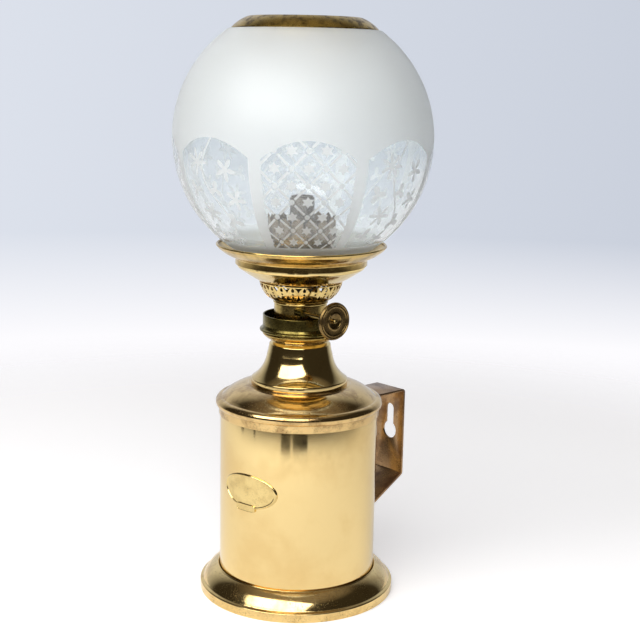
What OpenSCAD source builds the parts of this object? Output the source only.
// Brass kerosene table and wall lamp with a small round-wick burner and a ball globe.
// Millimetres, +Z up. The origin is the centre of the foot's underside, and +Y is the wall side.

/* [Foot] */
// Diameter over the foot's rim
foot_d = 118; // [108:1:140]
// Height of the foot's upright rim
foot_rim_h = 5.4; // [3:0.1:7]
// Height at which the foot meets the cylinder
foot_h = 15; // [13:0.5:20]
// Sheet thickness of the foot
foot_wall = 0.9; // [0.6:0.1:1.5]
// Thickness of the felt under the foot
felt_t = 1.2; // [0.8:0.1:2]
// Thickness of the plate that closes the foot
base_plate_t = 1; // [0.6:0.1:1.6]

/* [Font] */
// Outer diameter of the oil cylinder
font_d = 94.4; // [86:0.2:100]
// Visible height of the cylinder, from the foot to the shoulder's skirt
font_h = 94.7; // [75:0.1:130]
// Sheet thickness of the cylinder
font_wall = 0.8; // [0.5:0.1:1.5]
// Height of the raised tank floor above the plate
tank_floor_rise = 5.8; // [4:0.1:8]
// Sheet thickness of the tank floor
tank_floor_t = 0.8; // [0.5:0.1:1.5]

/* [Shoulder] */
// Height of the shoulder from its skirt to the neck's seat
shoulder_h = 18.5; // [17:0.1:26]
// Height of the straight skirt
skirt_h = 4.4; // [3:0.1:6]
// Radius of the half-round bead above the skirt
bead_r = 3.25; // [2.6:0.05:3.6]
// Sheet thickness of the shoulder
shoulder_wall = 0.8; // [0.5:0.1:1.2]

/* [Neck] */
// Diameter of the neck's foot
neck_foot_d = 57.6; // [50:0.2:64]
// Diameter of the neck's top edge
neck_top_d = 36.6; // [35:0.2:40]
// Diameter of the neck's mouth, where the collar stands
neck_mouth_d = 32.6; // [32:0.2:34]
// Height of the neck
neck_h = 26; // [20:0.1:34]
// Sheet thickness of the neck
neck_wall = 0.8; // [0.5:0.1:1]
// Bore of the threaded font collar
collar_bore_d = 29; // [28:0.1:30]
// Diameter of the font collar's flared top
collar_d = 44.8; // [40:0.2:46]
// Height of the font collar above the neck
collar_h = 5; // [4:0.1:7]
// Depth of the collar's socket inside the neck
collar_socket_h = 6.4; // [4:0.1:10]
// Thickness of the cork gasket
gasket_t = 0.8; // [0.5:0.1:1.5]

/* [Wall bracket] */
// Distance from the lamp's axis to the wall
bracket_reach = 81.3; // [76:0.1:95]
// Width of the strip
bracket_w = 23; // [18:0.5:28]
// Thickness of the strip
bracket_t = 1.5; // [1:0.1:2.5]
// Height of the bracket's wall plate
bracket_plate_h = 55.3; // [46:0.1:70]
// Slope of the strut below horizontal, in degrees
strut_slope = 30; // [20:1:40]
// Length of the tabs that lie on the tank
bracket_tab_h = 9; // [6:0.5:14]
// Diameter of the keyhole's round part
keyhole_d = 11.2; // [9:0.1:13]
// Width of the keyhole's slot
keyhole_slot_w = 6.5; // [5:0.1:7]
// Overall height of the keyhole
keyhole_h = 23.2; // [18:0.1:28]
// Distance from the bracket's top to the keyhole
keyhole_top = 11.7; // [8:0.1:16]

/* [Burner] */
// Direction of the wick knob from +X, in degrees
knob_turn = -4.6; // [-30:0.1:30]
// Diameter of the open screw cup at its top
cup_d = 44.6; // [40:0.2:47]
// Diameter over the screw cup's rolled lip
cup_lip_d = 48.2; // [47:0.2:52]
// Height of the screw cup
cup_h = 9.9; // [8:0.1:10.6]
// Wall of the screw cup
cup_wall = 0.8; // [0.6:0.1:1.2]
// Thickness of the screw cup's floor
cup_floor_t = 1.2; // [0.8:0.1:1.6]
// Length of the threaded plug under the cup
plug_h = 7; // [5:0.1:10]
// Diameter of the throat
throat_d = 31.4; // [30:0.2:34]
// Height of the throat from the cup's underside to the basket
throat_h = 18.4; // [17.8:0.1:24]
// Sheet thickness of the throat, basket and bowl
burner_wall = 0.7; // [0.5:0.05:0.9]
// Diameter of the pierced basket at its top
basket_d = 49.2; // [46:0.2:54]
// Height of the pierced basket
basket_h = 11.8; // [10:0.1:14]
// Number of pierced figures round the basket
basket_figures = 22; // [16:1:26]
// Diameter of the gallery bowl's upright lip
bowl_d = 75.8; // [70:0.2:82]
// Height of the gallery bowl
bowl_h = 13; // [11:0.1:16]
// Height of the bowl's upright lip
bowl_lip_h = 3.8; // [3:0.1:5]

/* [Wick and crown] */
// Outer diameter of the wick tube
wick_tube_d = 14.3; // [13.4:0.1:15]
// Wall of the wick tube and of the draught tube
tube_wall = 0.45; // [0.3:0.05:0.6]
// Height of the wick tube above the cup's underside
wick_tube_h = 79; // [70:0.5:86]
// Length of the wick tube below the cup's underside
wick_tube_drop = 10; // [6:0.5:14]
// Thickness of the wick
wick_t = 1; // [0.8:0.05:1.3]
// Length of the wick
wick_length = 180; // [140:1:190]
// Height that the wick stands out of its tube
wick_show = 1; // [0.5:0.1:3]
// How far the wick is lowered from rest
wick_down = 8.6; // [4:0.1:10]
// Diameter of the chimney crown
crown_d = 40.4; // [36:0.2:42]
// Height of the chimney crown
crown_h = 20; // [16:0.1:22]
// Sheet thickness of the crown
crown_wall = 0.5; // [0.4:0.05:0.8]
// Number of crown prongs
crown_prongs = 16; // [12:2:20]
// Depth of the slits between the prongs
crown_slit_h = 11; // [8:0.1:12]
// Height of the cone that carries the crown
cone_h = 18; // [15:0.1:20]
// Diameter of the opening at the top of the cone
cone_top_d = 19.4; // [18:0.1:21]

/* [Wick gear] */
// Diameter of the wick spindle
spindle_d = 2.5; // [2:0.1:3]
// Height of the spindle above the cup's underside
spindle_h = 13.8; // [13.2:0.1:14]
// Outer diameter of the toothed wick wheels
wheel_d = 7.1; // [6:0.1:7.4]
// Width of each wick wheel
wheel_w = 1.6; // [1:0.1:2]
// Teeth on each wick wheel
wheel_teeth = 12; // [8:1:16]
// Depth of the teeth
tooth_h = 0.7; // [0.5:0.05:0.9]
// Diameter of the knob
knob_d = 21.6; // [16:0.2:22]
// Thickness of the knob's edge
knob_t = 2.6; // [2:0.1:4]
// Distance from the lamp's axis to the knob's outer face
knob_reach = 45.4; // [40:0.1:55]

/* [Globe] */
// Outer diameter of the globe
globe_d = 150.8; // [140:0.2:160]
// Thickness of the glass
glass_t = 2.5; // [1.8:0.1:3.5]
// Outer diameter of the globe's lower edge
globe_bottom_d = 61.2; // [60:0.2:64]
// Outer diameter of the globe's upper edge
globe_top_d = 87; // [84:0.2:92]
// Sheet thickness of the shade holder
holder_wall = 0.7; // [0.5:0.05:1]
// Diameter of the shade holder's rim
holder_d = 100.4; // [94:0.2:110]
// Height of the holder's dish above its ledge
holder_h = 8.1; // [6:0.1:9]
// Diameter of the opening in the holder's ledge
holder_bore_d = 53; // [51:0.2:56]
// Diameter of the cap ring's lip
cap_d = 83.6; // [82:0.2:86]
// Diameter where the cap ring turns flat
cap_top_d = 64.4; // [60:0.2:68]
// Diameter of the opening in the cap ring
cap_bore_d = 58; // [50:0.2:59]
// Height of the cap ring
cap_h = 6.9; // [5:0.1:9]
// Sheet thickness of the cap ring
cap_wall = 0.7; // [0.5:0.05:1]

/* [Fits] */
// Radial gap in a soldered lap joint
solder_gap = 0.05; // [0.02:0.01:0.1]
// Radial gap of a turning shaft
shaft_gap = 0.06; // [0.03:0.01:0.1]
// Radial gap of pieces that lift off
loose_gap = 0.3; // [0.2:0.05:0.5]

/* [Hidden] */
$fn = 96;
foot_r = foot_d / 2;
font_r = font_d / 2;
neck_foot_r = neck_foot_d / 2;
neck_top_r = neck_top_d / 2;
neck_mouth_r = neck_mouth_d / 2;
collar_bore_r = collar_bore_d / 2;
collar_r = collar_d / 2;
cup_r = cup_d / 2;
cup_lip_r = cup_lip_d / 2;
throat_r = throat_d / 2;
basket_r = basket_d / 2;
bowl_r = bowl_d / 2;
tube_r = wick_tube_d / 2;
tube_bore_r = tube_r - tube_wall;
crown_r = crown_d / 2;
cone_top_r = cone_top_d / 2;
spindle_r = spindle_d / 2;
wheel_r = wheel_d / 2;
knob_r = knob_d / 2;
globe_r = globe_d / 2;
globe_bore_r = globe_r - glass_t;
holder_r = holder_d / 2;
cap_r = cap_d / 2;

// Levels from the table up
plate_top = felt_t + base_plate_t;
tank_floor_z = plate_top + tank_floor_rise;
skirt_z = foot_h + font_h;
seat_z = skirt_z + shoulder_h;
neck_z = seat_z + neck_h;
collar_z = neck_z + collar_h;
burner_z = collar_z + gasket_t;
cup_z = burner_z + cup_h;
basket_z = burner_z + throat_h;
bowl_z = basket_z + basket_h;
gallery_z = bowl_z + bowl_h;
ledge_z = gallery_z + holder_wall;
cone_z = bowl_z + burner_wall;
crown_z = cone_z + cone_h;
tube_top_z = burner_z + wick_tube_h;
tube_low_z = burner_z - wick_tube_drop;
wick_top_z = tube_top_z + wick_show;
wick_low_z = wick_top_z - wick_length;
spindle_z = burner_z + spindle_h;
globe_z = ledge_z + sqrt(globe_r ^ 2 - (globe_bottom_d / 2) ^ 2);
globe_top_z = globe_z + sqrt(globe_r ^ 2 - (globe_top_d / 2) ^ 2);

// Shoulder
skirt_r = font_r + solder_gap + shoulder_wall;
bead_z = skirt_z + skirt_h + bead_r * 0.86;
bead_centre_r = skirt_r - bead_r * 0.4;
dome_foot_r = bead_centre_r - bead_r * 0.45;
dome_foot_z = bead_z + bead_r * 1.25;
dome_top_r = neck_foot_r + 1.6;
seat_hole_r = neck_foot_r - 2.2;
shoulder_lap = 6.4;

// Burner
plug_r = collar_bore_r - loose_gap;
plug_wall = 1.6;
basket_foot_r = throat_r + 0.5;
basket_flange_r = basket_r - 2.4;
basket_edge_h = 0.6;
basket_sag = 1.7;
cone_wall = 0.5;
cone_flange_w = 2.6;

// Neck
neck_edge_h = 3.4;
neck_waist_drop = 8.3;
neck_waist_r = neck_top_r + 1.3;
neck_sag = 1.7;
neck_step_h = 1.5;
neck_mouth_h = 0.5;
socket_r = neck_mouth_r - neck_wall - solder_gap;

// Wick and its tubes
wick_gap = 0.3;
wick_r = tube_bore_r - wick_gap;
wick_bore_r = wick_r - wick_t;
draught_r = wick_bore_r - wick_gap;
draught_bore_r = draught_r - tube_wall;
duct_w = 5;
duct_h = 9;
duct_z = burner_z + 23;
duct_reach = tube_r + 0.7;
draught_top_z = tube_top_z - 0.5;
wick_slot_z = duct_z + duct_h + wick_down + 0.6;

// Wick gear, along the spindle and beside the wick
wheel_bite_gap = 0.3;
spindle_side = wick_r + wheel_bite_gap + wheel_r;
wheel_gap = 1.6;
cheek_t = 0.6;
wheel_side_gap = 0.35;
cheek_u = wheel_gap / 2 + wheel_w + wheel_side_gap;
cage_back = spindle_side + wheel_r + wheel_bite_gap;
cage_h = wheel_d + 0.8;
sleeve_r = spindle_r + 1.1;
press_gap = 0.02;
sleeve_start = sqrt((throat_r - burner_wall) ^ 2 - spindle_side ^ 2) - 0.8;
sleeve_end = sleeve_start + 6.4;
spindle_inner = -cheek_u - cheek_t - 0.4;
knob_hub_r = spindle_r + 1.75;
knob_hub_h = 3.6;

// Globe, its holder and its cap ring
holder_band_r = bowl_r + loose_gap + holder_wall;
holder_band_h = 3;
rim_roll_r = 0.75;
glass_top_bore_r = sqrt(globe_bore_r ^ 2 - (globe_top_z - globe_z) ^ 2);
cap_flange_r = glass_top_bore_r - 0.6;
cap_flange_h = 4;

brass = "#d9b35a";
dark_brass = "#7a6a34";
copper_brass = "#a9805a";

// Points from a towards b, without b, along a shallow curve that stands sag to the left of the chord
function bow(a, b, sag = 0, steps = 8) =
    let (side = [a[1] - b[1], b[0] - a[0]] / norm(b - a))
    [for (i = [0 : steps - 1]) let (t = i / steps) a + (b - a) * t + side * sag * 4 * t * (1 - t)];

// Points on a round arc from one angle towards another, without the last
function arc(centre, r, from, to, steps = 8) =
    [for (i = [0 : steps - 1]) let (a = from + (to - from) * i / steps) centre + r * [cos(a), sin(a)]];

function flat(lists) = [for (list = lists) for (p = list) p];
function unit(v) = v / norm(v);
function left_of(v) = [-v[1], v[0]];
function left_at(p, i) =
    let (back = left_of(unit(p[max(i, 1)] - p[max(i, 1) - 1])),
         ahead = left_of(unit(p[min(i + 1, len(p) - 1)] - p[min(i + 1, len(p) - 1) - 1])),
         mid = unit(back + ahead))
    mid / max(0.5, mid * back);
function beside(p, t) = [for (i = [0 : len(p) - 1]) p[i] + t * left_at(p, i)];
function reversed(p) = [for (i = [len(p) - 1 : -1 : 0]) p[i]];

// Outline of a sheet that follows the line p, its thickness to the left of the line
function sheet(p, t) = concat(p, reversed(beside(p, t)));

// A spun sheet piece: the line is its outer face, from outside below to inside above
module spun(line, wall) {
    rotate_extrude()
        polygon(sheet(line, wall));
}

module ring(outer_r, inner_r, low, high) {
    rotate_extrude()
        polygon([[inner_r, low], [outer_r, low], [outer_r, high], [inner_r, high]]);
}

// Puts a shape drawn along +Z on the spindle's line, its foot u out from the lamp's axis
module on_spindle(u) {
    rotate([0, 0, knob_turn])
        translate([u, -spindle_side, spindle_z])
            rotate([0, 90, 0])
                children();
}

module foot_ring() {
    step_w = 1.9;
    step_h = 0.5;
    edge = 0.4;
    cuff_h = 1.4;
    cuff_r = font_r + solder_gap + foot_wall;
    crest = [cuff_r + (foot_r - cuff_r) * 0.32, foot_h - cuff_h - 2];
    line = flat([
        [[foot_r, 0]],
        [[foot_r, foot_rim_h - edge]],
        bow([foot_r - edge, foot_rim_h], [foot_r - step_w, foot_rim_h + step_h], 0, 1),
        bow([foot_r - step_w, foot_rim_h + step_h], crest, -0.9),
        bow(crest, [cuff_r, foot_h - cuff_h], 0.5, 6),
        [[cuff_r, foot_h - cuff_h]],
        [[cuff_r, foot_h]]]);
    color(brass)
        spun(line, foot_wall);
}

module felt_pad() {
    color("#3c5a3a")
        cylinder(r = foot_r - foot_wall - loose_gap, h = felt_t);
}

module base_plate() {
    color("#8d8f8c")
        translate([0, 0, felt_t])
            cylinder(r = foot_r - foot_wall - solder_gap, h = base_plate_t);
}

module font_cylinder() {
    color(brass)
        ring(font_r, font_r - font_wall, plate_top, skirt_z + shoulder_lap);
}

module font_bottom() {
    r = font_r - font_wall - solder_gap;
    color(brass)
        rotate_extrude()
            polygon([
                [0, tank_floor_z - tank_floor_t], [r - tank_floor_t, tank_floor_z - tank_floor_t],
                [r - tank_floor_t, plate_top], [r, plate_top], [r, tank_floor_z], [0, tank_floor_z]]);
}

module shoulder_cap() {
    edge = 0.5;
    dome_sag = -1.2;
    line = flat([
        [[skirt_r, skirt_z]],
        [[skirt_r, skirt_z + skirt_h]],
        arc([bead_centre_r, bead_z], bead_r, -48, 100, 14),
        [[dome_foot_r, dome_foot_z]],
        bow([dome_foot_r - edge, dome_foot_z + edge], [dome_top_r + edge, seat_z - edge], dome_sag, 10),
        [[dome_top_r + edge, seat_z - edge]],
        [[dome_top_r, seat_z]],
        [[seat_hole_r, seat_z]]]);
    color(brass)
        spun(line, shoulder_wall);
}

module neck_bell() {
    edge = 0.4;
    waist = [neck_waist_r, neck_z - neck_waist_drop];
    top = [neck_top_r, neck_z - neck_mouth_h - neck_step_h];
    line = flat([
        [[neck_foot_r, seat_z]],
        [[neck_foot_r, seat_z + neck_edge_h - edge]],
        bow([neck_foot_r - edge, seat_z + neck_edge_h], waist, neck_sag, 12),
        bow(waist, top, 0.15, 4),
        [top],
        [[neck_mouth_r, neck_z - neck_mouth_h]],
        [[neck_mouth_r, neck_z]]]);
    color(brass)
        spun(line, neck_wall);
}

module font_collar() {
    lip_h = 0.8;
    color(brass)
        rotate_extrude()
            polygon(flat([
                [[collar_bore_r, neck_z - collar_socket_h]],
                [[socket_r, neck_z - collar_socket_h]],
                [[socket_r, neck_z]],
                bow([neck_mouth_r, neck_z], [collar_r, collar_z - lip_h], -0.6, 6),
                [[collar_r, collar_z - lip_h]],
                [[collar_r, collar_z]],
                [[collar_bore_r, collar_z]]]));
}

module collar_gasket() {
    inset = 2;
    color("#9a7446")
        ring(collar_r - inset, collar_bore_r, collar_z, burner_z);
}

// The bent strip is drawn in side view, then given its width; the tabs follow the tank's wall
module wall_bracket() {
    below_bead = 1.1;
    top = skirt_z + skirt_h - below_bead;
    bend_inner_r = 0.9;
    bend_r = bracket_t + bend_inner_r;
    bend_z = top - bracket_plate_h;
    into_tank = 4;
    inner = font_r - into_tank;
    turn = 90 - strut_slope;
    strut_top = [bracket_reach - bend_r + bend_r * cos(turn), bend_z - bend_r * sin(turn)];
    strut_z = strut_top[1] - (strut_top[0] - inner) * tan(strut_slope);
    foot_z = strut_top[1] - (strut_top[0] - font_r) * tan(strut_slope);
    strip = flat([
        [[inner, strut_z]],
        arc([bracket_reach - bend_r, bend_z], bend_r, -turn, 0, 6),
        arc([bracket_reach - bend_r, top - bend_r], bend_r, 0, 90, 6),
        [[bracket_reach - bend_r, top]],
        [[inner, top]]]);
    keyhole_z = top - keyhole_top - keyhole_h + keyhole_d / 2;
    slot_z = top - keyhole_top - keyhole_slot_w / 2;
    color(copper_brass)
        difference() {
            union() {
                difference() {
                    rotate([90, 0, 90])
                        linear_extrude(bracket_w, center = true)
                            polygon(sheet(strip, bracket_t));
                    cylinder(r = font_r + solder_gap, h = skirt_z);
                    cylinder(r = skirt_r + solder_gap, h = 2 * top);
                }
                intersection() {
                    union() {
                        ring(skirt_r + solder_gap + bracket_t, skirt_r + solder_gap, skirt_z, top);
                        ring(font_r + solder_gap + bracket_t, font_r + solder_gap,
                             foot_z - bracket_tab_h, foot_z + bracket_t);
                    }
                    translate([-bracket_w / 2, 0, 0])
                        cube([bracket_w, bracket_reach, top]);
                }
            }
            translate([0, bracket_reach + 1, keyhole_z])
                rotate([90, 0, 0])
                    cylinder(d = keyhole_d, h = bracket_t + 2);
            translate([0, bracket_reach + 1, slot_z])
                rotate([90, 0, 0])
                    cylinder(d = keyhole_slot_w, h = bracket_t + 2);
            translate([-keyhole_slot_w / 2, bracket_reach - bracket_t - 1, keyhole_z])
                cube([keyhole_slot_w, bracket_t + 2, slot_z - keyhole_z]);
        }
}

module screw_cup() {
    lip_h = 1.5;
    cove = 0.5;
    color(dark_brass)
        rotate_extrude()
            polygon(flat([
                [[tube_r + solder_gap, burner_z]],
                [[plug_r - plug_wall, burner_z]],
                [[plug_r - plug_wall, burner_z - plug_h]],
                [[plug_r, burner_z - plug_h]],
                [[plug_r, burner_z]],
                [[cup_lip_r - lip_h / 2, burner_z]],
                arc([cup_lip_r - lip_h / 2, burner_z + lip_h / 2], lip_h / 2, -60, 90, 6),
                [[cup_r + cove, burner_z + lip_h + cove]],
                [[cup_r, burner_z + lip_h + 4 * cove]],
                [[cup_r, cup_z]],
                [[cup_r - cup_wall, cup_z]],
                [[cup_r - cup_wall, burner_z + cup_floor_t]],
                [[tube_r + solder_gap, burner_z + cup_floor_t]]]));
}

module burner_throat() {
    floor_z = burner_z + cup_floor_t;
    bead_h = 1.9;
    color(brass)
        difference() {
            union() {
                ring(throat_r, throat_r - burner_wall, floor_z, basket_z);
                rotate_extrude()
                    polygon(flat([
                        [[throat_r - burner_wall, basket_z - bead_h]],
                        bow([throat_r, basket_z - bead_h], [throat_r, basket_z], -0.55, 6),
                        [[throat_r, basket_z]],
                        [[throat_r - burner_wall, basket_z]]]));
            }
            on_spindle(sleeve_start - 2)
                cylinder(r = sleeve_r + solder_gap, h = throat_r - sleeve_start + 4);
        }
}

// Line of the basket's outer face at height t, from 0 at its foot to 1 at its top
function basket_at(t) =
    let (low = [basket_foot_r, basket_z], high = [basket_r, bowl_z - basket_edge_h],
         side = [high[1] - low[1], low[0] - high[0]] / norm(high - low))
    low + (high - low) * t + side * basket_sag * 4 * t * (1 - t);

// One cutter that reaches out through the basket's wall at an angle, drawn as width by height
module basket_hole(angle, t) {
    rotate([0, 0, angle])
        translate([basket_at(t)[0] - 5, 0, basket_at(t)[1]])
            rotate([90, 0, 90])
                linear_extrude(8)
                    children();
}

module air_basket() {
    pitch = 360 / basket_figures;
    wide = 2 * PI * basket_r / basket_figures;
    line = concat([for (i = [0 : 8]) basket_at(i / 8)], [[basket_r, bowl_z]]);
    color(brass)
        rotate([0, 0, knob_turn])
            difference() {
                union() {
                    spun(line, burner_wall);
                    ring(basket_foot_r, throat_r - burner_wall, basket_z, basket_z + burner_wall);
                }
                for (i = [0 : basket_figures - 1]) {
                    basket_hole(i * pitch, 0.68)
                        polygon([
                            [-wide * 0.17, -basket_h * 0.11], [wide * 0.17, -basket_h * 0.11],
                            [wide * 0.13, basket_h * 0.08], [0, basket_h * 0.15],
                            [-wide * 0.13, basket_h * 0.08]]);
                    basket_hole(i * pitch, 0.45)
                        circle(d = wide * 0.2, $fn = 8);
                    basket_hole(i * pitch, 0.25)
                        circle(d = wide * 0.22, $fn = 6);
                    basket_hole((i + 0.5) * pitch, 0.68)
                        polygon([
                            [0, -basket_h * 0.19], [wide * 0.3, basket_h * 0.19],
                            [-wide * 0.3, basket_h * 0.19]]);
                    basket_hole((i + 0.5) * pitch, 0.32)
                        polygon([
                            [0, basket_h * 0.15], [-wide * 0.19, -basket_h * 0.12],
                            [wide * 0.19, -basket_h * 0.12]]);
                }
            }
}

module gallery_bowl() {
    lip_z = gallery_z - bowl_lip_h;
    turn = [bowl_r - 1.6, lip_z - 1.9];
    line = flat([
        bow([basket_r, bowl_z], turn, -0.25, 6),
        bow(turn, [bowl_r, lip_z], -0.35, 4),
        [[bowl_r, lip_z]],
        [[bowl_r, gallery_z]]]);
    color(brass)
        union() {
            spun(line, burner_wall);
            ring(basket_r, basket_flange_r, bowl_z, bowl_z + burner_wall);
        }
}

module gallery_cone() {
    foot_out_r = basket_r - 0.9;
    shoulder_r = cone_top_r + 1.2;
    line = flat([
        [[foot_out_r, cone_z + cone_wall]],
        [[basket_flange_r + 0.2, cone_z + cone_wall]],
        bow([basket_flange_r, cone_z + 2 * cone_wall], [shoulder_r, crown_z - 4 * cone_wall], 1.2, 8),
        [[shoulder_r, crown_z - 4 * cone_wall]],
        [[shoulder_r, crown_z - cone_wall]]]);
    color(brass)
        union() {
            spun(line, cone_wall);
            ring(cone_top_r + cone_flange_w, cone_top_r, crown_z - cone_wall, crown_z);
        }
}

module chimney_crown() {
    tip_h = 3.2;
    tip_w = 0.5;
    slit_w = 0.5;
    bowl_top = [crown_r, crown_z + crown_h - crown_slit_h - 1];
    line = flat([
        [[cone_top_r + cone_flange_w - crown_wall, crown_z]],
        bow([cone_top_r + cone_flange_w, crown_z], bowl_top, -2.6, 10),
        [bowl_top],
        [[crown_r, crown_z + crown_h]]]);
    pitch = 360 / crown_prongs;
    gap_w = PI * crown_d / crown_prongs / 2 - tip_w;
    color(dark_brass)
        rotate([0, 0, knob_turn])
            difference() {
                union() {
                    spun(line, crown_wall);
                    ring(cone_top_r + cone_flange_w, cone_top_r, crown_z, crown_z + crown_wall);
                }
                for (i = [0 : crown_prongs - 1])
                    rotate([0, 0, (i + 0.5) * pitch])
                        translate([crown_r - 4, 0, crown_z + crown_h])
                            rotate([90, 0, 90])
                                linear_extrude(6)
                                    polygon([
                                        [-slit_w, -crown_slit_h], [slit_w, -crown_slit_h],
                                        [slit_w, -tip_h], [gap_w, 0], [gap_w, 1],
                                        [-gap_w, 1], [-gap_w, 0], [-slit_w, -tip_h]]);
            }
}

// The side that faces away from the spindle has the window of the draught duct
module outer_wick_tube() {
    window_w = 2 * cheek_u - wheel_side_gap;
    window_h = 2 * sqrt(wheel_r ^ 2 - (spindle_side - tube_r) ^ 2) + 4 * wheel_side_gap;
    color(dark_brass)
        rotate([0, 0, knob_turn])
            difference() {
                ring(tube_r, tube_bore_r, tube_low_z, tube_top_z);
                translate([-window_w / 2, -tube_r - 1, spindle_z - window_h / 2])
                    cube([window_w, tube_r, window_h]);
                translate([-duct_w / 2, 0, duct_z])
                    cube([duct_w, tube_r + 1, duct_h]);
            }
}

// The tube for the flame's inner air, with the side duct that feeds it below the flame
module inner_draught_tube() {
    side_w = duct_w - 2 * solder_gap;
    wall = tube_wall;
    color(dark_brass)
        rotate([0, 0, knob_turn])
            difference() {
                union() {
                    translate([0, 0, duct_z + solder_gap])
                        cylinder(r = draught_r, h = draught_top_z - duct_z - solder_gap);
                    translate([-side_w / 2, 0, duct_z + solder_gap])
                        cube([side_w, duct_reach, duct_h - 2 * solder_gap]);
                }
                translate([0, 0, duct_z + wall + solder_gap])
                    cylinder(r = draught_bore_r, h = draught_top_z - duct_z);
                translate([-side_w / 2 + wall, 0, duct_z + wall + solder_gap])
                    cube([side_w - 2 * wall, duct_reach + 1, duct_h - 2 * wall - 2 * solder_gap]);
            }
}

// Two cheeks and a back that hold the spindle beside the wick tube
module wheel_cage() {
    color(brass)
        rotate([0, 0, knob_turn])
            difference() {
                intersection() {
                    translate([-cheek_u - cheek_t, -throat_r, spindle_z - cage_h / 2])
                        cube([2 * (cheek_u + cheek_t), throat_r - tube_r / 2, cage_h]);
                    translate([0, 0, spindle_z - cage_h])
                        cylinder(r = throat_r - burner_wall - solder_gap, h = 2 * cage_h);
                }
                translate([-cheek_u, -cage_back, spindle_z - cage_h / 2 - 1])
                    cube([2 * cheek_u, cage_back, cage_h + 2]);
                translate([0, 0, spindle_z - cage_h])
                    cylinder(r = tube_r + solder_gap, h = 2 * cage_h);
                translate([-cheek_u - cheek_t - 1, -spindle_side, spindle_z])
                    rotate([0, 90, 0])
                        cylinder(r = spindle_r + shaft_gap, h = 2 * (cheek_u + cheek_t + 1));
            }
}

module spindle_sleeve() {
    color(dark_brass)
        on_spindle(sleeve_start)
            difference() {
                cylinder(r = sleeve_r, h = sleeve_end - sleeve_start);
                translate([0, 0, -1])
                    cylinder(r = spindle_r + shaft_gap, h = sleeve_end - sleeve_start + 2);
            }
}

module wick() {
    slot_w = duct_w + 2 * wick_gap;
    color("#e8e0cc")
        rotate([0, 0, knob_turn])
            difference() {
                ring(wick_r, wick_bore_r, wick_low_z, wick_top_z);
                translate([-slot_w / 2, 0, wick_low_z - 1])
                    cube([slot_w, wick_r + 1, wick_slot_z - wick_low_z + 1]);
            }
}

module wick_spindle() {
    head_h = 0.6;
    color("#c9b27a")
        on_spindle(spindle_inner)
            union() {
                cylinder(r = spindle_r, h = knob_reach - spindle_inner);
                translate([0, 0, knob_reach - spindle_inner])
                    cylinder(r1 = spindle_r, r2 = spindle_r * 0.6, h = head_h);
            }
}

module wick_wheels() {
    root_r = wheel_r - tooth_h;
    color("#8a7b4a")
        for (side = [-1, 1])
            on_spindle(side * (wheel_gap + wheel_w) / 2)
                difference() {
                    linear_extrude(wheel_w, center = true)
                        polygon([
                            for (i = [0 : wheel_teeth - 1]) for (k = [0 : 3])
                                let (a = (i + [0, 0.3, 0.45, 0.7][k]) * 360 / wheel_teeth,
                                     r = [root_r, root_r, wheel_r, wheel_r][k])
                                r * [cos(a), sin(a)]]);
                    cylinder(r = spindle_r + press_gap, h = 2 * wheel_w, center = true);
                }
}

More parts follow.
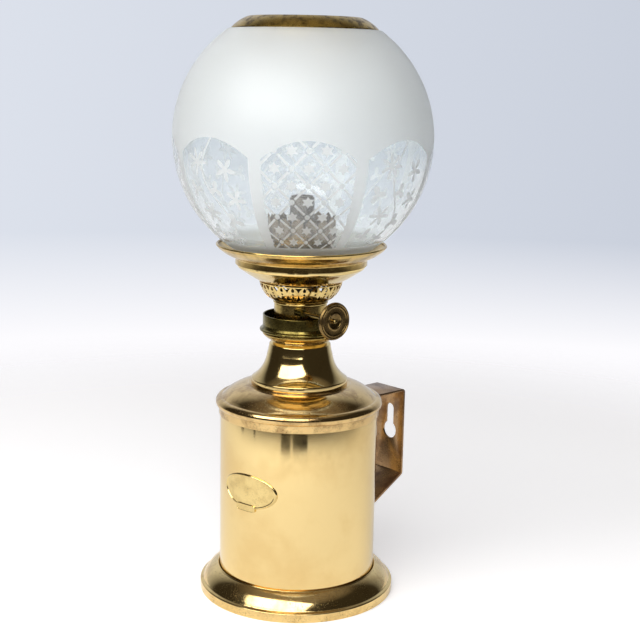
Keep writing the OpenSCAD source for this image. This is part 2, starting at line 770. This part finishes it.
// A pressed disc with a beaded rim, a raised ring and a dished middle, on a short hub
module wick_knob() {
    bore = spindle_r + press_gap;
    recess = knob_t - 0.35;
    pit = knob_t - 1;
    color(dark_brass)
        on_spindle(knob_reach - knob_t)
            rotate_extrude()
                polygon(flat([
                    [[bore, -knob_hub_h]],
                    [[knob_hub_r, -knob_hub_h]],
                    [[knob_hub_r, 0]],
                    [[knob_r - 0.5, 0]],
                    bow([knob_r - 0.5, 0], [knob_r - 0.5, knob_t], -0.5, 6),
                    [[knob_r - 0.5, knob_t]],
                    [[knob_r - 1.2, knob_t]],
                    [[knob_r - 1.5, recess]],
                    bow([knob_r * 0.46, recess], [knob_r * 0.38, recess], -0.3, 4),
                    [[knob_r * 0.38, recess]],
                    [[bore, pit]]]));
}

module shade_holder() {
    line = flat([
        [[holder_band_r, gallery_z - holder_band_h]],
        [[holder_band_r, ledge_z - 0.2]],
        bow([holder_band_r + 0.5, ledge_z + 0.1], [holder_r - 2, ledge_z + holder_h - 3], -0.5, 8),
        bow([holder_r - 2, ledge_z + holder_h - 3], [holder_r - 0.4, ledge_z + holder_h - 0.6], -0.2, 3),
        [[holder_r - 0.4, ledge_z + holder_h - 0.6]]]);
    color(brass)
        union() {
            spun(line, holder_wall);
            ring(holder_band_r - 0.2, holder_bore_d / 2, gallery_z, ledge_z);
            rotate_extrude()
                translate([holder_r - rim_roll_r, ledge_z + holder_h - rim_roll_r])
                    circle(r = rim_roll_r, $fn = 24);
        }
}

module globe() {
    color("#eef2f4", 0.55)
        rotate_extrude()
            intersection() {
                translate([0, globe_z])
                    difference() {
                        circle(r = globe_r);
                        circle(r = globe_bore_r);
                    }
                translate([0, ledge_z])
                    square([globe_r + 1, globe_top_z - ledge_z]);
            }
}

module globe_cap_ring() {
    line = flat([
        [[cap_r, globe_top_z]],
        bow([cap_r, globe_top_z + 0.6], [cap_top_d / 2, globe_top_z + cap_h], -0.7, 8),
        [[cap_top_d / 2, globe_top_z + cap_h]],
        [[cap_bore_d / 2, globe_top_z + cap_h]]]);
    color(brass)
        union() {
            spun(line, cap_wall);
            ring(cap_r - cap_wall, cap_flange_r - cap_wall, globe_top_z, globe_top_z + cap_wall);
            ring(cap_flange_r, cap_flange_r - cap_wall, globe_top_z - cap_flange_h, globe_top_z + cap_wall);
        }
}

foot_ring();
felt_pad();
base_plate();
font_cylinder();
font_bottom();
shoulder_cap();
neck_bell();
font_collar();
collar_gasket();
wall_bracket();
screw_cup();
burner_throat();
air_basket();
gallery_bowl();
gallery_cone();
chimney_crown();
outer_wick_tube();
inner_draught_tube();
wheel_cage();
spindle_sleeve();
wick();
wick_spindle();
wick_wheels();
wick_knob();
shade_holder();
globe();
globe_cap_ring();
